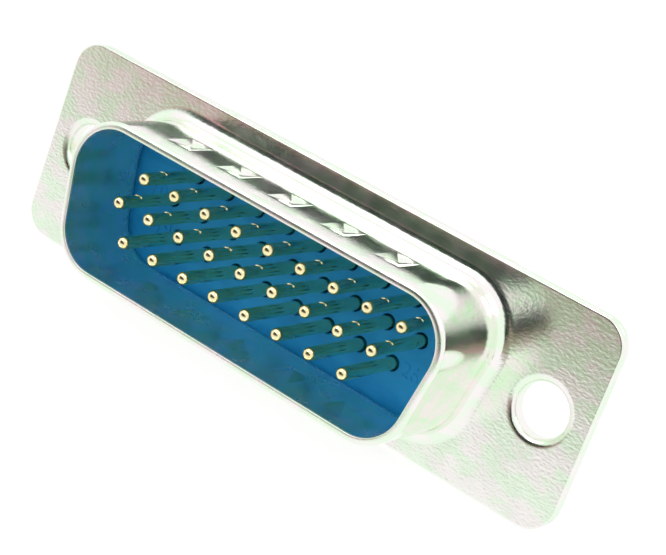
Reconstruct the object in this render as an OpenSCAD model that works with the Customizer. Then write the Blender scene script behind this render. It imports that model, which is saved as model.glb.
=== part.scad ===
// High-density D-shaped plug connector: 26 contacts in three rows, two pressed steel
// shells clinched together round a two-part insulator, solder cups at the back.
//
// The shapes are drawn lying on their back, with z pointing out of the mating side,
// and stood up at the end: x runs along the connector, -y faces the mating side and
// +z is the wide side of the D. The origin is midway between the two mounting holes,
// on the front face of the flange.

/* [Mating skirt] */
// Width inside the skirt, at its widest
skirt_w = 25.25; // [23:0.01:28]
// Height inside the skirt
skirt_h = 8.36; // [7.8:0.01:9.6]
// Radius of the D's corners, inside the skirt
skirt_corner_r = 2.6; // [2:0.05:3]
// Slope of the D's two short sides
side_slope = 10; // [6:0.5:12]
// Length of the skirt in front of the flange
skirt_len = 6.15; // [5.8:0.01:7]
// Radius of the bend between flange and skirt, on the outside
foot_r = 0.8; // [0.5:0.05:0.9]
// Rounding of the rim's outer edge
rim_r = 0.3; // [0.1:0.01:0.32]

/* [Sheet and flange] */
// Thickness of both pressed shells
sheet_t = 0.45; // [0.36:0.01:0.5]
// Flange above and below the skirt's inside faces
flange_border = 2.095; // [2:0.005:3]
// Radius of the flange's corners
flange_corner_r = 1.7; // [0.5:0.05:2.4]

/* [Mounting holes] */
// Hole centre, out from the widest point inside the skirt
hole_beyond_skirt = 4.035; // [3.9:0.005:4.6]
// Hole centre to the end of the flange
hole_to_end = 2.91; // [2.6:0.01:4]
// Clear diameter through the drawn collar
hole_d = 3.05; // [2.6:0.01:3.2]
// Wall of the collar where it passes through the rear shell
collar_wall = 0.3; // [0.2:0.01:0.34]
// Spread of the collar's clinched edge over the rear shell
clinch_w = 0.42; // [0.3:0.01:0.5]
// Thickness of the clinched edge
clinch_t = 0.3; // [0.25:0.01:0.4]

/* [Grounding dimples] */
// Dimples along each long side
dimple_count = 5; // [1:1:5]
// Spacing of the dimples
dimple_pitch = 3.68; // [2.2:0.01:3.9]
// Width of a dimple, along the connector
dimple_w = 1.56; // [1:0.01:1.9]
// Length of a dimple, along the skirt
dimple_l = 2.34; // [1.4:0.01:2.6]
// Depth of a dimple's lowest point
dimple_depth = 0.24; // [0.1:0.01:0.3]
// Centre of the dimples in front of the flange
dimple_centre = 3.46; // [3:0.01:4]
// Lowest point behind the dimple's centre
dimple_low_back = 0.35; // [0:0.01:0.5]

/* [Rear shell] */
// Room inside the rear shell beyond the skirt's inside faces
case_margin = 0.77; // [0.7:0.01:0.85]
// Back of the rear shell behind the flange's front face
case_depth = 4.75; // [4.3:0.01:6]
// Radius of the bend between the rear shell's flange and box, on the outside
case_foot_r = 0.35; // [0.2:0.01:0.45]
// Inside radius of the bend at the rear shell's back edge
case_bend_r = 0.3; // [0.2:0.01:0.5]
// Flat lip that holds the insulator in
case_lip_w = 0.7; // [0.4:0.01:1]

/* [Insulator] */
// Depth of the insulator's face behind the flange's front face
face_depth = 0.24; // [0.18:0.01:0.3]
// Joint between the two halves behind the flange's front face
split_depth = 2.4; // [1.8:0.01:2.8]
// Rear half standing out behind the rear shell
boss_proud = 1.25; // [0.5:0.01:2.5]
// Room round the insulator inside the shells
insulator_gap = 0.05; // [0.02:0.01:0.1]
// Room between the insulator's front edges and the skirt's bend
seat_gap = 0.01; // [0.01:0.01:0.05]
// Chamfer round the rear half's back edges
boss_chamfer = 0.3; // [0.1:0.01:0.6]

/* [Contacts] */
// Contacts in the top, middle and bottom row
row_counts = [9, 9, 8];
// Spacing along a row
contact_pitch = 2.29; // [2:0.01:2.35]
// Spacing between rows
row_pitch = 1.98; // [1.7:0.01:2.1]
// Diameter of a pin
pin_d = 0.76; // [0.6:0.01:0.84]
// End of the pins behind the skirt's rim
pin_recess = 1; // [0.3:0.01:1.2]
// Diameter of a contact's root inside the front half of the insulator
root_d = 0.86; // [0.8:0.01:1.1]
// Taper from the pin to the root, just behind the insulator's face
root_taper = 0.5; // [0.2:0.01:1]
// Diameter of the shoulder held between the two insulator halves
shoulder_d = 1.5; // [1.36:0.01:1.6]
// Thickness of the shoulder
shoulder_t = 0.6; // [0.4:0.01:1]
// Outside diameter of the solder cup
cup_d = 1.24; // [1.16:0.01:1.3]
// Bore of the solder cup
cup_bore = 0.9; // [0.7:0.01:1]
// Solder cup standing out behind the insulator
cup_len = 5; // [3.5:0.01:6]
// Depth of the bore from the cup's end
cup_bore_depth = 4.4; // [3.6:0.01:4.6]
// Length of the cup's open scoop
scoop_len = 1.4; // [1:0.01:2.6]
// Room round a contact in its holes
contact_gap = 0.03; // [0.02:0.01:0.05]

/* [Hidden] */
$fn = 48;
// Flat steps round each corner of the D, and through each bend of the sheet
corner_steps = 8;
bend_steps = 6;
// How far a cutting shape runs past what it cuts
over = 0.1;
// How far a bend or collar reaches into the sheet that it grows from
lap = 0.1;
// Metal round a dimple's inner side
dimple_skin = 0.12;
// Room between the collars and the rear shell's holes
collar_gap = 0.02;

// The D is a core of four corner centres, grown by a radius
arc_z = skirt_h / 2 - skirt_corner_r;
wide_x = skirt_w / 2 - skirt_corner_r;
narrow_x = wide_x - 2 * arc_z * tan(side_slope);
d_core = [[wide_x, arc_z], [-wide_x, arc_z], [-narrow_x, -arc_z], [narrow_x, -arc_z]];

hole_x = skirt_w / 2 + hole_beyond_skirt;
flange_core_x = hole_x + hole_to_end - flange_corner_r;
flange_core_z = skirt_h / 2 + flange_border - flange_corner_r;
flange_core = [[flange_core_x, flange_core_z], [-flange_core_x, flange_core_z],
               [-flange_core_x, -flange_core_z], [flange_core_x, -flange_core_z]];

// Distances outwards from the core
skirt_in = skirt_corner_r;
skirt_out = skirt_in + sheet_t;
foot_out = skirt_out + foot_r;
case_in = skirt_in + case_margin;
case_out = case_in + sheet_t;
case_foot_out = case_out + case_foot_r;
case_hole = case_in - case_bend_r - case_lip_w;
body_out = case_in - insulator_gap;
boss_out = case_hole - insulator_gap;

// Levels along z
flanges_back = -2 * sheet_t;
case_back = -case_depth;
lip_front = case_back + sheet_t;
face_z = -face_depth;
split_z = -split_depth;
shoulder_back = split_z - shoulder_t;
boss_back = case_back - boss_proud;
cup_end = boss_back - cup_len;
pin_end = skirt_len - pin_recess;

hole_r = hole_d / 2;
collar_r = hole_r + collar_wall;
pin_r = pin_d / 2;
root_r = root_d / 2;
cup_r = cup_d / 2;
shoulder_r = shoulder_d / 2;

// Where the insulator's two front edges meet the inside of the skirt's bend
seat_r = foot_r + sheet_t + seat_gap;
nose_out = foot_out - sqrt(seat_r ^ 2 - (foot_r - face_z) ^ 2);
body_front = foot_r - sqrt(seat_r ^ 2 - (foot_out - body_out) ^ 2);

// Each row's centre: the top row sits half a pitch to the right of the other two
row_z = [row_pitch, 0, -row_pitch];
row_x = [contact_pitch / 4, -contact_pitch / 4, -contact_pitch / 4];
// Solder cups of the two upper rows open upwards, those of the lowest downwards
row_scoop = [0, 0, 1];

contacts = [for (row = [0:2]) for (i = [0:row_counts[row] - 1])
    [row_x[row] + (i - (row_counts[row] - 1) / 2) * contact_pitch, row_z[row], row_scoop[row]]];

function contact_name(i) = str("contact_", i < 9 ? "0" : "", i + 1);

// Direction of the outward normal of the side that ends at corner i
function side_angle(core, i) =
    let (from = core[(i + len(core) - 1) % len(core)], to = core[i % len(core)])
    atan2(to[1] - from[1], to[0] - from[0]) - 90;

function turn(core, i) =
    let (step = side_angle(core, i + 1) - side_angle(core, i))
    step < 0 ? step + 360 : step;

// Stations once round the D: a corner's centre and an outward direction
d_stations = [for (i = [0:3]) for (k = [0:corner_steps])
    [d_core[i], side_angle(d_core, i) + k / corner_steps * turn(d_core, i)]];

function outward(station, r) = station[0] + r * [cos(station[1]), sin(station[1])];

function arc(centre, r, from, to) = [for (k = [0:bend_steps])
    let (angle = from + k / bend_steps * (to - from)) centre + r * [cos(angle), sin(angle)]];

// Section through the skirt: bend at the flange, wall and rounded rim
skirt_foot = [foot_out, foot_r];
skirt_section = concat(
    [[foot_out + lap, 0]],
    arc(skirt_foot, foot_r, 270, 180),
    arc([skirt_out - rim_r, skirt_len - rim_r], rim_r, 0, 90),
    [[skirt_in, skirt_len]],
    arc(skirt_foot, foot_r + sheet_t, 180, 270),
    [[foot_out + lap, -sheet_t]]);

// Section through the rear shell's box: back bend, bend at the flange and lip
case_foot = [case_foot_out, flanges_back - case_foot_r];
case_bend = [case_in - case_bend_r, lip_front + case_bend_r];
case_section = concat(
    arc(case_bend, case_bend_r + sheet_t, 270, 360),
    arc(case_foot, case_foot_r, 180, 90),
    [[case_foot_out + lap, flanges_back], [case_foot_out + lap, flanges_back + sheet_t]],
    arc(case_foot, case_foot_r + sheet_t, 90, 180),
    arc(case_bend, case_bend_r, 360, 270),
    [[case_hole, lip_front], [case_hole, case_back]]);

// Section of a chamfer's offcut at a rear edge
function edge_cut(r, z, size) =
    [[r - size - over, z - over], [r + over, z - over], [r + over, z + size + over]];

// Stands the model up: what was drawn as z faces the mating side
module stand() rotate([90, 0, 0]) children();

// A cylinder between two levels
module drum(r, low, high) translate([0, 0, low]) cylinder(r = r, h = high - low);

// A plate with round corners: the core grown by r, between two levels
module round_plate(core, r, low, high) {
    outline = [for (i = [0:len(core) - 1])
        for (reach = [[side_angle(core, i), r], [0, 0], [side_angle(core, i + 1), r]])
            core[i] + reach[1] * [cos(reach[0]), sin(reach[0])]];
    translate([0, 0, low]) {
        linear_extrude(high - low) polygon(outline);
        for (i = [0:len(core) - 1])
            translate(core[i]) rotate(side_angle(core, i))
                rotate_extrude(angle = turn(core, i)) square([r, high - low]);
    }
}

// A solid D, the core grown by r, between two levels
module d_prism(r, low, high) {
    translate([0, 0, low]) linear_extrude(high - low)
        polygon([for (station = d_stations) outward(station, r)]);
}

// Carries a closed section, drawn as distance from the core and level, once round the D
module d_ring(section) {
    n = len(section);
    total = n * len(d_stations);
    polyhedron(
        points = [for (station = d_stations) for (p = section)
            [outward(station, p[0])[0], outward(station, p[0])[1], p[1]]],
        faces = [for (i = [0:len(d_stations) - 1]) for (j = [0:n - 1])
            [i * n + j, i * n + (j + 1) % n,
             ((i + 1) * n + (j + 1) % n) % total, ((i + 1) * n + j) % total]]);
}

// A quarter of a disc; quarters count counter-clockwise from the first
module quarter_disc(centre, r, quarter) {
    translate(centre) intersection() {
        circle(r);
        rotate(90 * quarter) square(r + over);
    }
}

// A four-sided dent below y = 0: two wedges that cross at its lowest point
module dent(w, l) {
    intersection() {
        translate([0, 0, -l / 2]) linear_extrude(l)
            polygon([[-w / 2, over], [-w / 2, 0], [0, -dimple_depth], [w / 2, 0], [w / 2, over]]);
        translate([-w / 2, 0, 0]) rotate([90, 0, 90]) linear_extrude(w)
            polygon([[over, -l / 2], [0, -l / 2], [-dimple_depth, -dimple_low_back],
                     [0, l / 2], [over, l / 2]]);
    }
}

// Places on the skirt's two long sides, level with their inside faces
module at_dimples() {
    for (side = [0, 1])
        for (i = [0:dimple_count - 1])
            mirror([0, side, 0])
                translate([(i - (dimple_count - 1) / 2) * dimple_pitch, skirt_h / 2, dimple_centre])
                    children();
}

module at_holes() {
    for (x = [-hole_x, hole_x]) translate([x, 0, 0]) children();
}

module at_contacts() {
    for (place = contacts) translate([place[0], place[1], 0]) children();
}

// One sheet's flange, with the bend round the D and the two screw holes left open
module flange(low, bend_out, hole_opening) {
    difference() {
        round_plate(flange_core, flange_corner_r, low, low + sheet_t);
        d_prism(bend_out + lap / 2, low - over, low + sheet_t + over);
        at_holes() drum(hole_opening, low - over, low + sheet_t + over);
    }
}

// Drawn collar: rolls in from the flange, passes the rear shell and is clinched over it
module collar() {
    rotate_extrude() {
        translate([hole_r + sheet_t, -sheet_t]) square([lap, sheet_t]);
        quarter_disc([hole_r + sheet_t, -sheet_t], sheet_t, 1);
        translate([hole_r, flanges_back]) square([collar_wall, sheet_t]);
        quarter_disc([hole_r + clinch_t, flanges_back], clinch_t, 2);
        translate([hole_r + clinch_t, flanges_back - clinch_t])
            square([collar_r + clinch_w - hole_r - clinch_t, clinch_t]);
    }
}

module skirt() {
    difference() {
        union() {
            d_ring(skirt_section);
            at_dimples() dent(dimple_w + 2 * dimple_skin, dimple_l + 2 * dimple_skin);
        }
        at_dimples() translate([0, sheet_t, 0]) dent(dimple_w, dimple_l);
    }
}

module front_shell() {
    color("silver") stand() {
        skirt();
        flange(-sheet_t, foot_out, hole_r + sheet_t + lap / 2);
        at_holes() collar();
    }
}

module rear_shell() {
    color("silver") stand() {
        flange(flanges_back, case_foot_out, collar_r + collar_gap);
        d_ring(case_section);
    }
}

module front_insulator() {
    color("dodgerblue") stand() difference() {
        union() {
            d_prism(nose_out, split_z, face_z);
            d_prism(body_out, split_z, body_front);
        }
        at_contacts() drum(root_r + contact_gap, split_z - over, face_z + over);
    }
}

module rear_insulator() {
    color("dodgerblue") stand() difference() {
        union() {
            d_prism(body_out, lip_front, split_z);
            d_prism(boss_out, boss_back, split_z);
        }
        d_ring(edge_cut(body_out, lip_front, case_bend_r));
        d_ring(edge_cut(boss_out, boss_back, boss_chamfer));
        at_contacts() {
            drum(shoulder_r + contact_gap, shoulder_back, split_z + over);
            drum(cup_r + contact_gap, boss_back - over, split_z);
        }
    }
}

// Open half of the solder cup, with a rounded run-out
module scoop() {
    rotate([90, 0, 90]) translate([0, 0, -cup_r - over]) linear_extrude(cup_d + 2 * over) {
        translate([0, cup_end - over]) square([cup_d, scoop_len + over]);
        quarter_disc([cup_r, cup_end + scoop_len], cup_r, 0);
        quarter_disc([cup_r, cup_end + scoop_len], cup_r, 1);
    }
}

// Turned contact: round-nosed pin, root, shoulder, barrel and solder cup
module contact(scoop_side) {
    root_front = face_z - root_taper;
    color("gold") {
        rotate_extrude() quarter_disc([0, pin_end - pin_r], pin_r, 0);
        drum(pin_r, face_z, pin_end - pin_r);
        translate([0, 0, root_front]) cylinder(r1 = root_r, r2 = pin_r, h = root_taper);
        drum(root_r, split_z, root_front);
        drum(shoulder_r, shoulder_back, split_z);
        difference() {
            drum(cup_r, cup_end, shoulder_back);
            drum(cup_bore / 2, cup_end - over, cup_end + cup_bore_depth);
            mirror([0, scoop_side, 0]) scoop();
        }
    }
}

front_shell();
rear_shell();
front_insulator();
rear_insulator();
for (i = [0:len(contacts) - 1])
    stand() translate([contacts[i][0], contacts[i][1], 0]) contact(contacts[i][2]);
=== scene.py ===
# %% [markdown]
# # A high-density D-shaped plug connector
#
# Two pressed steel shells are clinched together round a blue moulding that holds 26 turned
# contacts. This lesson dresses its CAD frame. The frame brings every piece at its real place
# and size, and what is built here takes its places from it. Lengths below are in millimetres,
# as on a drawing, and `MM` turns them into Blender's metres.

# %% Load the frame
from math import cos, pi, radians, sin, sqrt, tan

import bmesh
import bpy
from mathutils import Matrix, Vector


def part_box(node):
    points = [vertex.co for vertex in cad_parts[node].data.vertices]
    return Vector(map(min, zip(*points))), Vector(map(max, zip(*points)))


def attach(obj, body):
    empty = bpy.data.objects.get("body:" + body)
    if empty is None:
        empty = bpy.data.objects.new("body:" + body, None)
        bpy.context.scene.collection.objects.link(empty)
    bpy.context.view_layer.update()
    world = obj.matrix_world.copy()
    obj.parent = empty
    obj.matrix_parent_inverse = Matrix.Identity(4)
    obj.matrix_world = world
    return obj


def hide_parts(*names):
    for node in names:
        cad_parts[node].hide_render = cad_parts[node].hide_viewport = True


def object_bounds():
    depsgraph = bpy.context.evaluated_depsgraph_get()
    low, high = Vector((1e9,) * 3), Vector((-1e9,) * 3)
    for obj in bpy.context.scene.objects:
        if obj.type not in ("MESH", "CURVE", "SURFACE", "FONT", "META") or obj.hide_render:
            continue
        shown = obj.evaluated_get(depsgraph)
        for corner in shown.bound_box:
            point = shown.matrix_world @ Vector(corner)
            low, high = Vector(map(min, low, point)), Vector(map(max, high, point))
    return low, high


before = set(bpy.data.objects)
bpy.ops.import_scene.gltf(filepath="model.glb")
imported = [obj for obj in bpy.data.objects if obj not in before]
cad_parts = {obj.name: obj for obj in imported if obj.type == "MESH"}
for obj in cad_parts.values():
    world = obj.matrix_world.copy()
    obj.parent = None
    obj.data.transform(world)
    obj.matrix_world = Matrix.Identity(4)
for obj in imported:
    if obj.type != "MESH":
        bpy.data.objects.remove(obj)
MM = 0.001
MERGE = 0.0005 * MM
cad_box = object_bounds()
print("CAD box, metres:", cad_box)

# %% [markdown]
# ## The D
#
# Everything in this connector follows one outline, a D with four round corners. It is a core
# of four corner centres, grown outwards by a radius: a small radius gives the inside of the
# skirt, a larger one its outside, and so on. Kept that way, every wall stays parallel to the
# others, as bent sheet does.

# %% Sizes of the pressed shells
SHEET = 0.45
SKIRT_W, SKIRT_H, SKIRT_LEN = 25.25, 8.36, 6.15
CORNER_R = 2.6
SIDE_SLOPE = radians(10)
FOOT_R = 0.8
FLANGE_CORNER_R = 1.7

arc_z = SKIRT_H / 2 - CORNER_R
wide_x = SKIRT_W / 2 - CORNER_R
narrow_x = wide_x - 2 * arc_z * tan(SIDE_SLOPE)
# Corner centres, clockwise from the upper left as seen from the mating side
D_CORE = [(-wide_x, arc_z), (wide_x, arc_z), (narrow_x, -arc_z), (-narrow_x, -arc_z)]

skirt_in = CORNER_R
skirt_out = skirt_in + SHEET
foot_out = skirt_out + FOOT_R

low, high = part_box("front_shell")
flange_x = high.x / MM - FLANGE_CORNER_R
flange_z = high.z / MM - FLANGE_CORNER_R
FLANGE_CORE = [(-flange_x, flange_z), (flange_x, flange_z), (flange_x, -flange_z), (-flange_x, -flange_z)]
print(f"flange {2 * high.x / MM:.2f} x {2 * high.z / MM:.2f} mm")
print(f"D core's corners at {wide_x:.3f} and {narrow_x:.3f} mm")

# %% [markdown]
# ## A section carried round an outline
#
# A press draws the sheet over a punch, so its wall has the same section all the way round.
# The helper below works the same way. It starts from the section as a few edges, spins them
# about each corner's centre, and draws them straight along each side. The straight runs can
# stop on the way, which leaves rows of points there for dents to be struck in.

# %% Sections and the helper that carries them
CORNER_STEPS = 14
# How close a point has to be to count as on an axis, in metres, or on a level, in millimetres
ON_AXIS, ON_LEVEL = 1e-7, 0.001


def arc(out, y, r, start, end, steps=8):
    """Points of a section's round stretch; 0 degrees points outwards and 90 towards the back."""
    turns = [radians(start + (end - start) * i / steps) for i in range(steps + 1)]
    return [(out + r * cos(a), y + r * sin(a)) for a in turns]


def side_normal(core, i):
    """Direction out of the side that leaves corner i."""
    (x0, z0), (x1, z1) = core[i], core[(i + 1) % len(core)]
    return Vector((z0 - z1, 0, x1 - x0)).normalized()


def carry_round(bm, core, section, stops=None):
    """Carries a section, (distance out of the core, y) in mm, once round the core.

    Stops are distances along a side, listed by the corner that the side leaves.
    """
    x0, z0 = core[0]
    out = side_normal(core, 0)
    verts = [bm.verts.new(Vector((x0, y, z0)) * MM + out * d * MM) for d, y in section]
    edges = [bm.edges.new(pair) for pair in zip(verts, verts[1:])]
    geom = verts + edges
    corners = [Vector((x, 0, z)) for x, z in core]
    for i, here in enumerate(corners):
        there = corners[(i + 1) % len(corners)]
        along = (there - here).normalized()
        length = (there - here).length
        at = 0
        for stop in [*(stops or {}).get(i, []), length]:
            step = bmesh.ops.spin(bm, geom=geom, dvec=along * (stop - at) * MM, angle=0, steps=1,
                                  axis=(0, 1, 0), cent=(0, 0, 0))
            geom = step["geom_last"]
            at = stop
        bend = side_normal(core, i).angle(side_normal(core, (i + 1) % len(core)))
        step = bmesh.ops.spin(bm, geom=geom, cent=there * MM, axis=(0, 1, 0), angle=bend,
                              steps=CORNER_STEPS)
        geom = step["geom_last"]
    end = [v for v in geom if isinstance(v, bmesh.types.BMVert)]
    bmesh.ops.remove_doubles(bm, verts=verts + end, dist=MERGE)


def level_edges(bm, y):
    """Open edges that lie at one level."""
    return [e for e in bm.edges if len(e.link_faces) < 2
            and all(abs(v.co.y - y * MM) < ON_LEVEL * MM for v in e.verts)]


def fill_level(bm, y):
    """Closes the sheet between all the open outlines that lie at one level."""
    bmesh.ops.triangle_fill(bm, edges=level_edges(bm, y), use_beauty=True, use_dissolve=False)


def turn_profile(bm, centre, profile, steps=48):
    """Turns a profile, (radius, y) in mm, about the y axis through a centre (x, z) in mm."""
    x, z = centre
    verts = [bm.verts.new(Vector((x + r, y, z)) * MM) for r, y in profile]
    edges = [bm.edges.new(pair) for pair in zip(verts, verts[1:])]
    bmesh.ops.spin(bm, geom=verts + edges, cent=Vector((x, 0, z)) * MM, axis=(0, 1, 0),
                   angle=2 * pi, steps=steps, use_merge=True)
    on_axis = [v for v in bm.verts
               if abs(v.co.x - x * MM) < ON_AXIS and abs(v.co.z - z * MM) < ON_AXIS]
    bmesh.ops.remove_doubles(bm, verts=on_axis, dist=ON_AXIS / 10)


# %% Helpers that turn a bmesh into a piece
def mesh_of(bm, name):
    """Merges doubles, turns the faces outwards and hands the mesh over."""
    bmesh.ops.remove_doubles(bm, verts=bm.verts, dist=MERGE)
    bmesh.ops.recalc_face_normals(bm, faces=bm.faces)
    mesh = bpy.data.meshes.new(name)
    bm.to_mesh(mesh)
    bm.free()
    return mesh


def put_in_scene(name, data):
    """A new object with this data, linked to the scene."""
    thing = bpy.data.objects.new(name, data)
    bpy.context.scene.collection.objects.link(thing)
    return thing


def finish_piece(bm, name, node, crease=35):
    """Makes the mesh an object that stands for a CAD node and rides on its body."""
    mesh = mesh_of(bm, name)
    mesh.shade_smooth()
    mesh.set_sharp_from_angle(angle=radians(crease))
    piece = put_in_scene(name, mesh)
    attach(piece, "root")
    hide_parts(node)
    return piece


def open_edges(piece):
    """Number of edges that don't join exactly two faces."""
    bm = bmesh.new()
    bm.from_mesh(piece.data)
    count = sum(len(e.link_faces) != 2 for e in bm.edges)
    bm.free()
    return count


# %% [markdown]
# ## Front shell
#
# The mating shell is one pressing: a flat flange, a generous bend and the D-shaped skirt.
# Its cut rim is rolled over a little on the outside. Extra points close to each bend keep the
# flat walls flat when they are shaded smoothly, which matters on bright metal.

# %% Section of the skirt
RIM_R, RIM_INNER_R = 0.3, 0.06
# Extra points stand this far from a bend, and a strip of flat flange this wide goes with it
EASE, LAND = 0.07, 0.35
flange_land = foot_out + LAND

DIMPLE_W, DIMPLE_L, DIMPLE_DEPTH = 1.56, 2.34, 0.24
DIMPLE_PITCH, DIMPLE_CENTRE, LOW_BACK = 3.68, 3.46, 0.35
dimple_rows = [-(DIMPLE_CENTRE - DIMPLE_L / 2), -(DIMPLE_CENTRE - LOW_BACK),
               -(DIMPLE_CENTRE + DIMPLE_L / 2)]
wall_rows = [dimple_rows[0] + EASE, *dimple_rows, dimple_rows[2] - EASE]

front_bend = [(flange_land, 0), (foot_out + EASE, 0), *arc(foot_out, -FOOT_R, FOOT_R, 90, 180, 10)]
outer_wall = [(skirt_out, -FOOT_R - EASE), *[(skirt_out, y) for y in wall_rows],
              (skirt_out, -SKIRT_LEN + RIM_R + EASE)]
rim = [*arc(skirt_out - RIM_R, -SKIRT_LEN + RIM_R, RIM_R, 0, -90),
       *arc(skirt_in + RIM_INNER_R, -SKIRT_LEN + RIM_INNER_R, RIM_INNER_R, -90, -180, 3)]
inner_wall = [(skirt_in, -SKIRT_LEN + RIM_INNER_R + EASE),
              *[(skirt_in, y) for y in reversed(wall_rows)], (skirt_in, -FOOT_R - EASE)]
back_bend = [*arc(foot_out, -FOOT_R, FOOT_R + SHEET, 180, 90, 10), (foot_out + EASE, SHEET),
             (flange_land, SHEET)]
skirt_section = front_bend + outer_wall + rim + inner_wall + back_bend
print(f"skirt section has {len(skirt_section)} points")

# %% Stations along the two long sides
DIMPLES = 5
low_points = [(i - (DIMPLES - 1) / 2) * DIMPLE_PITCH for i in range(DIMPLES)]


def long_side_stops(half_length):
    """Distances from the start of a long side to its stations."""
    half = DIMPLE_W / 2
    places = [x + d for x in low_points for d in (-half - EASE, -half, 0, half, half + EASE)]
    return [EASE * 2, *[half_length + x for x in places], 2 * half_length - EASE * 2]


side_length = sqrt((wide_x - narrow_x) ** 2 + (2 * arc_z) ** 2)
short_stops = [EASE * 2, side_length - EASE * 2]
skirt_stops = {0: long_side_stops(wide_x), 1: short_stops, 2: long_side_stops(narrow_x), 3: short_stops}
print("dimples at x", low_points, "mm")


# %% Draw the skirt, the flange's edge and the collars
CUT_EDGE_R, STRIP = 0.06, 0.3


def flange_section(front):
    """Edge of a flange: cut edges eased a little, as a press leaves them."""
    back = front + SHEET
    r = FLANGE_CORNER_R
    edge = r - CUT_EDGE_R
    return [(r - STRIP, front), (edge - EASE, front), *arc(edge, front + CUT_EDGE_R, CUT_EDGE_R, -90, 0, 3),
            *arc(edge, back - CUT_EDGE_R, CUT_EDGE_R, 0, 90, 3), (edge - EASE, back), (r - STRIP, back)]


HOLE_X, HOLE_R = 16.66, 1.525
COLLAR_WALL, CLINCH_W, CLINCH_T = 0.3, 0.42, 0.3
COLLAR_LAND = 0.2
collar_r = HOLE_R + COLLAR_WALL
flanges_back = 2 * SHEET
collar_profile = [
    (HOLE_R + SHEET + COLLAR_LAND, 0), (HOLE_R + SHEET + EASE, 0),
    *arc(HOLE_R + SHEET, SHEET, SHEET, -90, -180, 8),
    (HOLE_R, flanges_back),
    *arc(HOLE_R + CLINCH_T, flanges_back, CLINCH_T, 180, 90, 8),
    *arc(collar_r + CLINCH_W - CUT_EDGE_R, flanges_back + CLINCH_T - CUT_EDGE_R, CUT_EDGE_R, 90, 0, 3),
    (collar_r + CLINCH_W, flanges_back), (collar_r, flanges_back), (collar_r, SHEET),
]

front = bmesh.new()
carry_round(front, D_CORE, skirt_section, stops=skirt_stops)
carry_round(front, FLANGE_CORE, flange_section(0))
for side in (-1, 1):
    turn_profile(front, (side * HOLE_X, 0), collar_profile)
fill_level(front, 0)
fill_level(front, SHEET)
print("front shell:", len(front.faces), "faces before its dimples")

# %% [markdown]
# ## Dimples
#
# Small four-sided dents are struck into both long walls, from outside. They grip the shell of
# the mating socket and earth it. Each is a low pyramid: the point where a station crosses the
# middle row is pushed in, and the faces are split from the dent's corners to that point, so
# that the creases run where the punch left them. A narrow bevel then rounds the creases.


# %% Strike the dimples
NEAR = 0.01


def near(v, x, y, z):
    """True where a vertex lies at a place in mm."""
    return (v.co - Vector((x, y, z)) * MM).length < NEAR * MM


def strike(bm, x, side, wall):
    """Pushes in one dimple on one skin of a long wall and splits its faces along the creases."""
    z = side * (arc_z + wall)
    back, deepest, front_row = dimple_rows
    around = [v for v in bm.verts if abs(v.co.z - z * MM) < NEAR * MM
              and abs(v.co.x - x * MM) < (DIMPLE_W / 2 + NEAR) * MM]
    centre = next(v for v in around if near(v, x, deepest, z))
    corners = [next(v for v in around if near(v, x + dx, y, z))
               for dx in (-DIMPLE_W / 2, DIMPLE_W / 2) for y in (back, front_row)]
    creases = []
    for corner in corners:
        split = bmesh.ops.connect_verts(bm, verts=[corner, centre])
        creases += split["edges"]
    centre.co.z -= side * DIMPLE_DEPTH * MM
    return creases


creases = []
for side in (1, -1):
    for x in low_points:
        for wall in (skirt_out, skirt_in):
            creases += strike(front, x, side, wall)
print(len(creases), "creases in", len(low_points) * 2, "dimples")

# %% Round the creases
CREASE_W = 0.05
bmesh.ops.bevel(front, geom=creases, offset=CREASE_W * MM, offset_type="OFFSET", segments=2, profile=0.5,
                affect="EDGES", material=-1, clamp_overlap=True)
front_shell = finish_piece(front, "front_shell_pressed", "front_shell")
print("open edges:", open_edges(front_shell))

# %% [markdown]
# ## Rear shell
#
# The second pressing lies flat against the first. Its box reaches back over the moulding, and
# a narrow lip turned inwards at its end keeps the moulding from falling out.

# %% Rear shell
CASE_MARGIN, CASE_DEPTH, CASE_FOOT_R, CASE_BEND_R, CASE_LIP = 0.77, 4.75, 0.35, 0.3, 0.7
case_in = skirt_in + CASE_MARGIN
case_out = case_in + SHEET
case_foot = case_out + CASE_FOOT_R
case_hole = case_in - CASE_BEND_R - CASE_LIP
lip_front = CASE_DEPTH - SHEET
CASE_LAND, LIP_EDGE, CASE_EASE = 0.15, 0.05, 0.15
case_land = case_foot + CASE_LAND
case_section = [
    (case_land, SHEET), *arc(case_foot, flanges_back + CASE_FOOT_R, CASE_FOOT_R + SHEET, -90, -180, 8),
    (case_in, flanges_back + CASE_FOOT_R + EASE), (case_in, lip_front - CASE_BEND_R - EASE),
    *arc(case_in - CASE_BEND_R, lip_front - CASE_BEND_R, CASE_BEND_R, 0, 90, 6),
    (case_hole + LIP_EDGE, lip_front), (case_hole, lip_front + LIP_EDGE),
    (case_hole, CASE_DEPTH - LIP_EDGE), (case_hole + LIP_EDGE, CASE_DEPTH),
    (case_in - CASE_BEND_R - EASE, CASE_DEPTH),
    *arc(case_in - CASE_BEND_R, lip_front - CASE_BEND_R, CASE_BEND_R + SHEET, 90, 0, 8),
    (case_out, lip_front - CASE_BEND_R - EASE), (case_out, flanges_back + CASE_FOOT_R + EASE),
    *arc(case_foot, flanges_back + CASE_FOOT_R, CASE_FOOT_R, 180, 270, 6), (case_land, flanges_back),
]
case_stops = {0: [CASE_EASE, 2 * wide_x - CASE_EASE], 1: short_stops,
              2: [CASE_EASE, 2 * narrow_x - CASE_EASE], 3: short_stops}
COLLAR_GAP = 0.02
hole = collar_r + COLLAR_GAP

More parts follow.
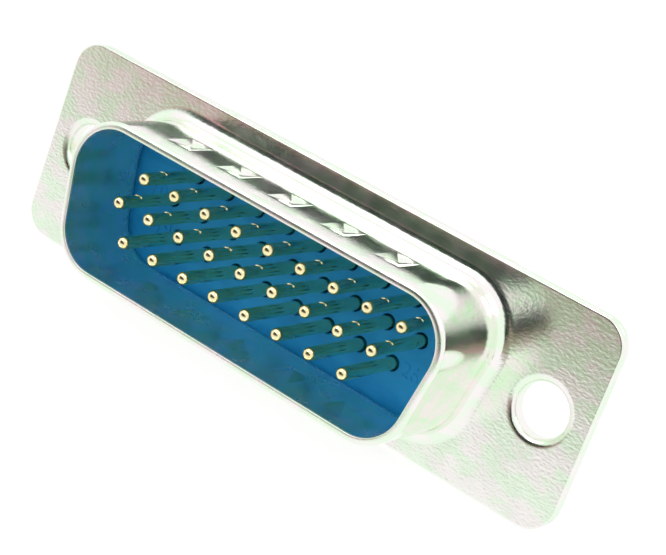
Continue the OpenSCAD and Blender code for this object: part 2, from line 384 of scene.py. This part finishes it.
rear = bmesh.new()
carry_round(rear, D_CORE, case_section, stops=case_stops)
carry_round(rear, FLANGE_CORE, flange_section(SHEET))
for side in (-1, 1):
    turn_profile(rear, (side * HOLE_X, 0), [(hole, SHEET), (hole, flanges_back)])
fill_level(rear, SHEET)
fill_level(rear, flanges_back)
rear_shell = finish_piece(rear, "rear_shell_pressed", "rear_shell")
print("open edges:", open_edges(rear_shell))

# %% [markdown]
# ## The blue moulding
#
# The moulding comes in two halves with the contacts' shoulders trapped between them. Each half
# is drawn the same way: its side is carried round the D, its holes are turned, and the flat
# faces are filled between the outlines. Mouths and edges are eased, as a mould leaves them.

# %% Places of the contacts, from the frame
contact_names = sorted(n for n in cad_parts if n.startswith("contact_"))
places = {}
for name in contact_names:
    low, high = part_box(name)
    places[name] = ((low.x + high.x) / 2 / MM, (low.z + high.z) / 2 / MM)
pin_tip = min(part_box(n)[0].y for n in contact_names) / MM
cup_end = max(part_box(n)[1].y for n in contact_names) / MM
face_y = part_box("front_insulator")[0].y / MM
split_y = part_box("front_insulator")[1].y / MM
boss_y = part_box("rear_insulator")[1].y / MM
print(f"{len(places)} contacts from y {pin_tip:.2f} to {cup_end:.2f} mm, face at {face_y:.2f} mm")

# %% Front half
GAP, SEAT_GAP, CONTACT_GAP = 0.05, 0.01, 0.03
HOLE_STEPS = 32
ROOT_R, CUP_R, SHOULDER_R, PIN_R = 0.43, 0.62, 0.75, 0.38
seat_r = FOOT_R + SHEET + SEAT_GAP
nose_out = foot_out - sqrt(seat_r ** 2 - (FOOT_R + face_y) ** 2)
body_out = case_in - GAP
body_front = -FOOT_R + sqrt(seat_r ** 2 - (foot_out - body_out) ** 2)
EDGE = 0.04


def hole_wall(r, front, back):
    """Wall of a moulded hole, with both mouths eased."""
    return [(r + EDGE, front), (r, front + EDGE), (r, back - EDGE), (r + EDGE, back)]


half = bmesh.new()
carry_round(half, D_CORE, [
    (nose_out - EDGE * 2, face_y), (nose_out - EDGE, face_y), (nose_out, face_y + EDGE),
    (nose_out, body_front),
    (body_out - EDGE, body_front), (body_out, body_front + EDGE), (body_out, split_y)])
for x, z in places.values():
    turn_profile(half, (x, z), hole_wall(ROOT_R + CONTACT_GAP, face_y, split_y), steps=HOLE_STEPS)
fill_level(half, face_y)
fill_level(half, split_y)
front_half = finish_piece(half, "insulator_front_half", "front_insulator")
print("open edges:", open_edges(front_half))

# %% Rear half
BOSS_CHAMFER, SHOULDER_T = 0.3, 0.6
boss_out = case_hole - GAP
shoulder_back = split_y + SHOULDER_T
half = bmesh.new()
carry_round(half, D_CORE, [
    (body_out, split_y), (body_out, lip_front - CASE_BEND_R), (body_out - CASE_BEND_R, lip_front),
    (boss_out, lip_front), (boss_out, boss_y - BOSS_CHAMFER - EDGE),
    (boss_out - EDGE, boss_y - BOSS_CHAMFER),
    (boss_out - BOSS_CHAMFER, boss_y - EDGE), (boss_out - BOSS_CHAMFER - EDGE, boss_y),
    (boss_out - BOSS_CHAMFER - EDGE * 2, boss_y)])
for x, z in places.values():
    seat, barrel = SHOULDER_R + CONTACT_GAP, CUP_R + CONTACT_GAP
    wall = [(seat, split_y), (seat, shoulder_back), (barrel, shoulder_back), (barrel, boss_y - EDGE),
            (barrel + EDGE, boss_y)]
    turn_profile(half, (x, z), wall, steps=HOLE_STEPS)
fill_level(half, split_y)
fill_level(half, boss_y)
rear_half = finish_piece(half, "insulator_rear_half", "rear_insulator")
print("open edges:", open_edges(rear_half))

# %% [markdown]
# ## Contacts
#
# Each contact is turned from one rod: a round-nosed pin, a root that sits in the front half, a
# shoulder, a barrel, and a bored solder cup whose end is cut open as a scoop. One profile is
# spun once, the scoop is cut from it, and the result is copied to every place. The cups of the
# lowest row open downwards, so that row gets the same contact turned half round.

# %% Turn one contact
CUP_BORE_R, CUP_BORE_DEPTH, SCOOP_LEN = 0.45, 4.4, 1.4
TAPER, CUP_EDGE, DRILL_POINT = 0.5, 0.03, 0.2
bore_y = cup_end - CUP_BORE_DEPTH
contact_profile = [
    *arc(0, pin_tip + PIN_R, PIN_R, -90, 0, 10), (PIN_R, face_y - EASE), (PIN_R, face_y),
    (ROOT_R, face_y + TAPER), (ROOT_R, split_y),
    (SHOULDER_R - EDGE, split_y), (SHOULDER_R, split_y + EDGE),
    (SHOULDER_R, shoulder_back - EDGE), (SHOULDER_R - EDGE, shoulder_back), (CUP_R, shoulder_back),
    (CUP_R, cup_end - CUP_EDGE), (CUP_R - CUP_EDGE, cup_end),
    (CUP_BORE_R + CUP_EDGE, cup_end), (CUP_BORE_R, cup_end - CUP_EDGE),
    (CUP_BORE_R, bore_y), (0, bore_y + DRILL_POINT),
]
blank = bmesh.new()
turn_profile(blank, (0, 0), contact_profile, steps=36)
turned = mesh_of(blank, "turned_contact")
print("turned contact:", len(turned.polygons), "faces")

# %% Cutter for the scoop
scoop_y = cup_end - SCOOP_LEN
# The cutter stands well out of the cup on every side
reach = CUP_R * 2
past_end = cup_end + 1
scoop = bmesh.new()
lip = [(past_end, 0), (scoop_y, 0)]
lip += [(scoop_y - CUP_R * sin(radians(a)), CUP_R - CUP_R * cos(radians(a))) for a in range(10, 91, 10)]
lip += [(scoop_y - CUP_R, reach), (past_end, reach)]
side_face = scoop.faces.new([scoop.verts.new(Vector((-reach, y, z)) * MM) for y, z in lip])
prism = bmesh.ops.extrude_face_region(scoop, geom=[side_face])
moved = [v for v in prism["geom"] if isinstance(v, bmesh.types.BMVert)]
bmesh.ops.translate(scoop, verts=moved, vec=Vector((2 * reach, 0, 0)) * MM)
scoop_mesh = mesh_of(scoop, "scoop_cutter")
print("scoop cut starts at y", round(scoop_y, 2), "mm")

# %% [markdown]
# ## Tool marks
#
# Each pin carries a short nick behind its round nose, where a tool held it. A nick could be
# painted on with a bump, but its bright and dark ends come from its shape, so it is cut: three
# small balls in a row are taken away from the pin's upper side.

# %% Cutters for the tool marks
# Angle round the pin, distance behind the tip, radius and depth of each ball
MARKS = [(106, 1.74, 0.17, 0.12), (84, 1.80, 0.13, 0.05), (60, 1.84, 0.14, 0.075)]
cutter_meshes = []
for angle, back, r, depth in MARKS:
    ball = bmesh.new()
    away = PIN_R + r - depth
    bmesh.ops.create_icosphere(ball, subdivisions=3, radius=r * MM)
    bmesh.ops.translate(ball, verts=ball.verts, vec=Vector(
        (away * cos(radians(angle)), pin_tip + back, away * sin(radians(angle)))) * MM)
    cutter_meshes.append(mesh_of(ball, "ball_cutter"))
print(len(cutter_meshes), "balls for the tool marks")


# %% Cut the scoop and the marks from the turned contact
def cut_away(blank_mesh, *cutter_meshes):
    """The first mesh less the others."""
    blank = put_in_scene("blank", blank_mesh)
    cutters = []
    for mesh in cutter_meshes:
        cutter = put_in_scene(mesh.name, mesh)
        cut = blank.modifiers.new(mesh.name, "BOOLEAN")
        cut.operation, cut.solver, cut.object = "DIFFERENCE", "EXACT", cutter
        cutters.append(cutter)
    bpy.context.view_layer.update()
    graph = bpy.context.evaluated_depsgraph_get()
    result = bpy.data.meshes.new_from_object(blank.evaluated_get(graph))
    for helper in (blank, *cutters):
        bpy.data.objects.remove(helper)
    return result


contact_mesh = cut_away(turned, scoop_mesh, *cutter_meshes)
print("one contact has", len(contact_mesh.polygons), "faces")

# %% Set the contacts in their places
SAME_ROW = 0.1
lowest_row = min(z for x, z in places.values())
contacts = []
for name, (x, z) in places.items():
    one = bmesh.new()
    one.from_mesh(contact_mesh)
    if abs(z - lowest_row) < SAME_ROW:
        bmesh.ops.rotate(one, verts=one.verts, cent=(0, 0, 0), matrix=Matrix.Rotation(pi, 3, "Y"))
    bmesh.ops.translate(one, verts=one.verts, vec=Vector((x, 0, z)) * MM)
    contacts.append(finish_piece(one, name + "_turned", name, crease=40))
print(len(contacts), "contacts; open edges of the first:", open_edges(contacts[0]))

# %% [markdown]
# ## Finishes
#
# Each finish is built from nodes and reads Object coordinates, which are metres here, so a
# scale of 1000 makes one unit of a pattern one millimetre.


# %% Helper for materials
def new_material(name):
    """A material with its Principled shader, and its node tree."""
    material = bpy.data.materials.new(name)
    material.use_nodes = True
    tree = material.node_tree
    return material, tree, tree.nodes["Principled BSDF"]


def add(tree, kind, **settings):
    """Adds a node and sets its properties."""
    node = tree.nodes.new(kind)
    for key, value in settings.items():
        setattr(node, key, value)
    return node


def dress(pieces, material):
    """Gives each piece this material and no other."""
    for piece in pieces:
        piece.data.materials.clear()
        piece.data.materials.append(material)


# %% Helpers for patterns
def in_mm(tree, stretch=(1, 1, 1)):
    """Object coordinates in millimetres; a stretch below 1 draws a pattern out along that axis."""
    coordinates = add(tree, "ShaderNodeTexCoord")
    mapping = add(tree, "ShaderNodeMapping")
    mapping.inputs["Scale"].default_value = [c / MM for c in stretch]
    tree.links.new(coordinates.outputs["Object"], mapping.inputs["Vector"])
    return mapping.outputs["Vector"]


def noise(tree, place, scale, detail=2.0, rough=0.5, distortion=0.0):
    """A noise whose scale is in lumps per millimetre."""
    node = add(tree, "ShaderNodeTexNoise")
    node.inputs["Scale"].default_value = scale
    node.inputs["Detail"].default_value = detail
    node.inputs["Roughness"].default_value = rough
    node.inputs["Distortion"].default_value = distortion
    tree.links.new(place, node.inputs["Vector"])
    return node.outputs["Fac"]


def span(tree, value, low, high, to_low=0.0, to_high=1.0, smooth=True):
    """Maps a value from low..high to another range, and holds it there."""
    node = add(tree, "ShaderNodeMapRange", interpolation_type="SMOOTHSTEP" if smooth else "LINEAR")
    node.inputs["From Min"].default_value = low
    node.inputs["From Max"].default_value = high
    node.inputs["To Min"].default_value = to_low
    node.inputs["To Max"].default_value = to_high
    tree.links.new(value, node.inputs["Value"])
    return node.outputs["Result"]


def calc(tree, operation, *values):
    """A Math node whose inputs are numbers or other nodes' outputs."""
    node = add(tree, "ShaderNodeMath", operation=operation)
    for socket, value in zip(node.inputs, values):
        if isinstance(value, (int, float)):
            socket.default_value = value
        else:
            tree.links.new(value, socket)
    return node.outputs["Value"]


# Places of the colour sockets among all the sockets of a Mix node
MIX_A, MIX_B, MIX_RESULT = 6, 7, 2


def blend(tree, factor, first, second):
    """Mixes two colours by a factor."""
    node = add(tree, "ShaderNodeMix", data_type="RGBA")
    tree.links.new(factor, node.inputs["Factor"])
    for socket, colour in ((MIX_A, first), (MIX_B, second)):
        if isinstance(colour, tuple):
            node.inputs[socket].default_value = (*colour, 1)
        else:
            tree.links.new(colour, node.inputs[socket])
    return node.outputs[MIX_RESULT]


def raise_surface(tree, shader, height, depth):
    """Bumps the surface by a height from 0 to 1, whose full depth is in mm."""
    bump = add(tree, "ShaderNodeBump")
    bump.inputs["Strength"].default_value = 1
    bump.inputs["Distance"].default_value = depth * MM
    tree.links.new(height, bump.inputs["Height"])
    tree.links.new(bump.outputs["Normal"], shader.inputs["Normal"])


# %% [markdown]
# ## Plated steel
#
# The shells are drawn from thin bright sheet. Drawing polishes the skirt, while the flanges keep
# the grain of the rolled sheet and look satin. One material does both: the height above the
# flange says where the grain goes, so no seam shows at the bend. The plating itself has clouds
# of green and pink, as a passivated coat has.

# %% Mark the faces that look into the skirt
FOOT_BACK, LOOKS_IN = 0.4, -0.2


def mark_inside(piece):
    """Stores 1 on the faces that look into the skirt, and 0 on all others."""
    marks = []
    for face in piece.data.polygons:
        x, y, z = face.center / MM
        outwards = Vector((x - max(-wide_x, min(wide_x, x)), 0, z - max(-arc_z, min(arc_z, z))))
        marks.append(float(y < FOOT_BACK and face.normal.dot(outwards.normalized()) < LOOKS_IN))
    layer = piece.data.attributes.new("inside", "FLOAT", "FACE")
    layer.data.foreach_set("value", marks)
    print(piece.name, "has", int(sum(marks)), "faces that look in")


mark_inside(front_shell)
mark_inside(rear_shell)

# %% Areas of the steel
plated, tree, shader = new_material("bright plated steel")
split = add(tree, "ShaderNodeSeparateXYZ")
tree.links.new(in_mm(tree), split.inputs["Vector"])
level = split.outputs["Y"]
looks_in = add(tree, "ShaderNodeAttribute", attribute_name="inside").outputs["Fac"]
flange_area = calc(tree, "MULTIPLY", span(tree, level, -0.30, -0.04), span(tree, level, 1.9, 1.2))
inner_bend = calc(tree, "MULTIPLY", looks_in, span(tree, level, -1.0, -0.6))
grained = calc(tree, "MAXIMUM", flange_area, inner_bend)
rim_edge = span(tree, level, -5.95, -6.1)

# %% Grain, colour and gloss of the steel
STEEL_DEPTH = 0.0075
GREEN_WHITE, PINK_WHITE = (0.84, 0.97, 0.80), (0.97, 0.93, 0.91)
grain = noise(tree, in_mm(tree, (0.6, 1, 1)), 6.0, detail=2, rough=0.5)
drawn = noise(tree, in_mm(tree, (1, 0.12, 1)), 1.6, detail=2, rough=0.5)
fine = noise(tree, in_mm(tree), 16, detail=2)
height = calc(tree, "ADD", calc(tree, "MULTIPLY", grain, grained),
              calc(tree, "MULTIPLY", drawn, span(tree, grained, 0, 1, 0.3, 0.0)))
height = calc(tree, "ADD", height, calc(tree, "MULTIPLY", fine, span(tree, rim_edge, 0, 1, 0.05, 0.5)))
raise_surface(tree, shader, height, STEEL_DEPTH)
cloud = noise(tree, in_mm(tree), 0.55, detail=3, rough=0.6)
tint = noise(tree, in_mm(tree, (0.6, 1, 1)), 0.8, detail=2)
whites = blend(tree, span(tree, tint, 0.40, 0.62), GREEN_WHITE, PINK_WHITE)
tree.links.new(whites, shader.inputs["Base Color"])
# Each area adds its share to the roughness of the polished wall
roughness = span(tree, cloud, 0.3, 0.7, 0.09, 0.15)
for area, share in ((looks_in, 0.13), (grained, 0.05), (rim_edge, 0.15)):
    roughness = calc(tree, "ADD", roughness, calc(tree, "MULTIPLY", area, share))
tree.links.new(roughness, shader.inputs["Roughness"])
shader.inputs["Metallic"].default_value = 1
dress([front_shell, rear_shell], plated)
print("plated steel:", len(tree.nodes), "nodes")

# %% [markdown]
# ## Blue moulding
#
# Glass-filled nylon has a soft gloss and a slightly uneven blue, where the melt flowed. A slow,
# drawn-out noise mixes two blues for the flow, and a fine one gives the skin.

# %% Blue moulding
DEEP_BLUE, LIGHT_BLUE = (0.010, 0.30, 0.76), (0.022, 0.38, 0.88)
SKIN_DEPTH = 0.004
moulded, tree, shader = new_material("blue moulding")
flow = noise(tree, in_mm(tree, (0.35, 1, 0.8)), 0.5, detail=3, rough=0.6, distortion=0.8)
blues = blend(tree, span(tree, flow, 0.3, 0.7), DEEP_BLUE, LIGHT_BLUE)
tree.links.new(blues, shader.inputs["Base Color"])
skin = noise(tree, in_mm(tree), 9, detail=3, rough=0.65)
raise_surface(tree, shader, skin, SKIN_DEPTH)
tree.links.new(span(tree, skin, 0.3, 0.7, 0.34, 0.48), shader.inputs["Roughness"])
shader.inputs["Specular IOR Level"].default_value = 0.22
dress([front_half, rear_half], moulded)
print("blue moulding:", len(tree.nodes), "nodes")

# %% [markdown]
# ## Gold plating
#
# The contacts are brass with a thin, pale coat of gold. Turning leaves faint lines along the
# pins once they are wiped, so the noise for the bump is drawn out along the pin.

# %% Gold plating
DEEP_GOLD, PALE_GOLD = (0.96, 0.84, 0.46), (0.97, 0.90, 0.58)
WIPE_DEPTH = 0.002
gold, tree, shader = new_material("gold plating")
wipe = noise(tree, in_mm(tree, (1, 0.15, 1)), 7, detail=3, rough=0.6)
shade = noise(tree, in_mm(tree), 1.6, detail=2)
golds = blend(tree, span(tree, shade, 0.35, 0.65), DEEP_GOLD, PALE_GOLD)
tree.links.new(golds, shader.inputs["Base Color"])
raise_surface(tree, shader, wipe, WIPE_DEPTH)
tree.links.new(span(tree, wipe, 0.3, 0.7, 0.10, 0.20), shader.inputs["Roughness"])
shader.inputs["Metallic"].default_value = 1
dress(contacts, gold)
print("gold plating:", len(tree.nodes), "nodes")

# %% The same finishes for the CAD nodes
# The solids stay hidden behind the pieces that stand for them
for name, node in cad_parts.items():
    finish = gold if name.startswith("contact") else moulded if "insulator" in name else plated
    dress([node], finish)
print(len(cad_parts), "CAD nodes dressed")

# %% [markdown]
# ## Pin numbers
#
# The ends of the three rows are numbered on the moulding, in small raised figures, so that a
# wire can be traced to its cup. Blender's text object draws the figures. Each is turned into a
# mesh, stood up on the face and made a piece of its own.

# %% Raised figures at the row ends
FIGURE_H, FIGURE_PROUD, FIGURE_GAP = 0.95, 0.06, 1.25
# A font's size counts more than the height of its figures
SIZE_PER_HEIGHT = 1.35


def raised_figure(text, x, z):
    """A figure standing out of the moulding's face, centred at (x, z) in mm."""
    curve = bpy.data.curves.new("figure_" + text, "FONT")
    curve.body = text
    curve.size = FIGURE_H * SIZE_PER_HEIGHT * MM
    curve.align_x, curve.align_y = "CENTER", "CENTER"
    curve.extrude = FIGURE_PROUD * MM
    words = put_in_scene("figure_" + text, curve)
    bpy.context.view_layer.update()
    graph = bpy.context.evaluated_depsgraph_get()
    mesh = bpy.data.meshes.new_from_object(words.evaluated_get(graph))
    bpy.data.objects.remove(words)
    figure = bmesh.new()
    figure.from_mesh(mesh)
    upright = Matrix.Rotation(pi / 2, 3, "X")
    bmesh.ops.rotate(figure, verts=figure.verts, cent=(0, 0, 0), matrix=upright)
    bmesh.ops.translate(figure, verts=figure.verts, vec=Vector((x, face_y, z)) * MM)
    bmesh.ops.remove_doubles(figure, verts=figure.verts, dist=MERGE)
    return figure


ordered = list(places.values())
row_ends = (1, 9, 10, 18, 19, 26)
for number in row_ends:
    x, z = ordered[number - 1]
    side = 1 if x > 0 else -1
    figure = raised_figure(str(number), x + side * FIGURE_GAP, z)
    name = f"figure_{number}"
    mesh = bpy.data.meshes.new(name)
    figure.to_mesh(mesh)
    figure.free()
    piece = put_in_scene(name, mesh)
    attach(piece, "root")
    mesh.materials.append(moulded)
print("figures at the row ends:", row_ends)

# %% [markdown]
# ## Camera
#
# The connector is seen from a hand's breadth away, from its upper right, with the camera rolled
# so that the flange runs down to the right. Angles and a distance from a target say that more
# plainly than a matrix would.

# %% Camera
AZIMUTH, ELEVATION, ROLL = radians(28.687), radians(17.286), radians(20.517)
DISTANCE = 106.826
TARGET = Vector((2.243, 0, 0.750))
camera_data = bpy.data.cameras.new("camera")
camera_data.lens = 103.43
camera_data.sensor_width = 36
camera_data.clip_start = 0.001
camera_data.clip_end = 10
camera = put_in_scene("camera", camera_data)
toward = Vector((sin(AZIMUTH) * cos(ELEVATION), -cos(AZIMUTH) * cos(ELEVATION), sin(ELEVATION)))
place = TARGET * MM + toward * DISTANCE * MM
turn = toward.to_track_quat("Z", "Y").to_matrix().to_4x4() @ Matrix.Rotation(ROLL, 4, "Z")
camera.matrix_world = Matrix.Translation(place) @ turn
bpy.context.scene.camera = camera
print("camera at", [round(c / MM, 2) for c in place], "mm")

# %% [markdown]
# ## Floor and white studio
#
# The connector lies in a white studio. Light on its way to the piece stays at a plain level, so
# that colours come out as they are written. Only rays from the eye, or off gloss, or through
# glass, see the floor and the world at full white. The floor still takes a soft shadow.

# %% Helpers for the stage
def stage_plane(name, corners):
    """A flat sheet of the studio through four corners in mm."""
    sheet = bmesh.new()
    sheet.faces.new([sheet.verts.new(Vector(corner) * MM) for corner in corners])
    mesh = bpy.data.meshes.new(name)
    sheet.to_mesh(mesh)
    sheet.free()
    plane = put_in_scene(name, mesh)
    return plane


def seen_by_eye_or_gloss(tree):
    """1 for rays that the camera, a reflection or glass sends out, 0 for light on its way."""
    path = add(tree, "ShaderNodeLightPath")
    eye_or_gloss = calc(tree, "MAXIMUM", path.outputs["Is Camera Ray"], path.outputs["Is Glossy Ray"])
    return calc(tree, "MAXIMUM", eye_or_gloss, path.outputs["Is Transmission Ray"])


# %% Floor
FAR, BELOW = 2000, 0.2
FLOOR_GREY, FLOOR_GLOW = 0.45, 0.70
ground = cad_box[0][2] / MM - BELOW
floor = stage_plane("floor", [(x * FAR, y * FAR, ground) for x, y in ((-1, -1), (1, -1), (1, 1), (-1, 1))])
pale, tree, shader = new_material("pale floor")
shader.inputs["Base Color"].default_value = (FLOOR_GREY, FLOOR_GREY, FLOOR_GREY, 1)
shader.inputs["Roughness"].default_value = 1
shader.inputs["Specular IOR Level"].default_value = 0
shader.inputs["Emission Color"].default_value = (1, 1, 1, 1)
glow = calc(tree, "MULTIPLY", seen_by_eye_or_gloss(tree), FLOOR_GLOW)
tree.links.new(glow, shader.inputs["Emission Strength"])
floor.data.materials.append(pale)
# Metal looks past the floor into the white studio
floor.visible_glossy = False
print("floor at z", round(ground, 3), "mm")

# %% White studio
WORLD_LIGHT = 0.85
world = bpy.data.worlds.new("studio")
bpy.context.scene.world = world
world.use_nodes = True
tree = world.node_tree
background = tree.nodes["Background"]
background.inputs["Color"].default_value = (1, 1, 1, 1)
strength = span(tree, seen_by_eye_or_gloss(tree), 0, 1, WORLD_LIGHT, 1.0, smooth=False)
tree.links.new(strength, background.inputs["Strength"])
print("world strength for light on its way:", WORLD_LIGHT)

# %% [markdown]
# ## Dark card
#
# Bright metal looks like metal only when it has something dark to mirror, and studios keep a
# black card at hand for that. Here a card stands in front of the connector, where reflections
# alone see it, and its edges fade so that they leave no hard line. The card glows, and its tones
# are painted reflections that stand in for a room: near black above the horizon and brownish
# below. Its upper edge comes down to the right.

# %% Dark card in front
# Places on the card are shares of its distance, so they read as slopes of the line of sight
CARD_AWAY = 300
FADE_LEFT, FADE_RIGHT, FADE_LOW, FADE_HIGH = 0.42, 0.20, 0.09, 0.14
BRIM_START, BRIM_END, BRIM_DROP = -0.32, 0.60, 0.38
card_left, card_right, card_low, card_high = -1.10, 1.00, -0.40, 0.74
corners = [(card_left, card_low), (card_right, card_low), (card_right, card_high), (card_left, card_high)]
card = stage_plane("dark_card", [(x * CARD_AWAY, -CARD_AWAY, z * CARD_AWAY) for x, z in corners])
for other in ("camera", "diffuse", "transmission", "volume_scatter", "shadow"):
    setattr(card, "visible_" + other, False)
print("dark card", len(corners), "corners,", CARD_AWAY, "mm away")

# %% Outline of the card
dark, tree, shader = new_material("dark card")
tree.nodes.remove(shader)
split = add(tree, "ShaderNodeSeparateXYZ")
tree.links.new(in_mm(tree, (1 / CARD_AWAY,) * 3), split.inputs["Vector"])
across, up = split.outputs["X"], split.outputs["Z"]
fade = calc(tree, "MULTIPLY", span(tree, across, card_left, card_left + FADE_LEFT),
            span(tree, across, card_right, card_right - FADE_RIGHT))
fade = calc(tree, "MULTIPLY", fade, span(tree, up, card_low, card_low + FADE_LOW))
brim = calc(tree, "ADD", up, span(tree, across, BRIM_START, BRIM_END, 0.0, BRIM_DROP, smooth=False))
fade = calc(tree, "MULTIPLY", fade, span(tree, brim, card_high, card_high - FADE_HIGH))

# %% Tones of the card
# Painted reflections: the card glows in these tones and only metal mirrors them, rose at the far left and
# grey-green lowest
ROSE, BROWN = (0.52, 0.25, 0.25), (0.34, 0.24, 0.21)
GREY_GREEN, NEAR_BLACK = (0.44, 0.47, 0.38), (0.022, 0.032, 0.028)
reddish = blend(tree, span(tree, across, -0.66, -0.50), ROSE, BROWN)
low_tone = blend(tree, span(tree, up, -0.31, -0.22), GREY_GREEN, reddish)
tone = blend(tree, span(tree, up, -0.14, 0.02), low_tone, NEAR_BLACK)
glow = add(tree, "ShaderNodeEmission")
tree.links.new(tone, glow.inputs["Color"])
clear = add(tree, "ShaderNodeBsdfTransparent")
mixed = add(tree, "ShaderNodeMixShader")
tree.links.new(fade, mixed.inputs["Fac"])
tree.links.new(clear.outputs[0], mixed.inputs[1])
tree.links.new(glow.outputs[0], mixed.inputs[2])
tree.links.new(mixed.outputs[0], tree.nodes["Material Output"].inputs["Surface"])
card.data.materials.append(dark)
print("dark card:", len(tree.nodes), "nodes")

# %% [markdown]
# ## Lamps
#
# Two large square lamps stand above the connector, to its left and right. Large lamps give soft
# shadows, and they are weak, because most of the light comes from the white studio.


# %% Lamps
def soft_lamp(name, place, size, power):
    """A square lamp at a place in mm that faces the connector."""
    data = bpy.data.lights.new(name, "AREA")
    data.shape = "SQUARE"
    data.size = size * MM
    data.energy = power
    lamp = put_in_scene(name, data)
    lamp.location = Vector(place) * MM
    lamp.rotation_euler = Vector(place).to_track_quat("Z", "Y").to_euler()
    print(name, "lamp,", power, "W")


soft_lamp("key", (-120, -160, 260), 160, 0.25)
soft_lamp("fill", (167, -49, 245), 140, 0.12)

# %% Colours come out as they are written
bpy.context.scene.view_settings.view_transform = "Standard"
print("view transform:", bpy.context.scene.view_settings.view_transform)
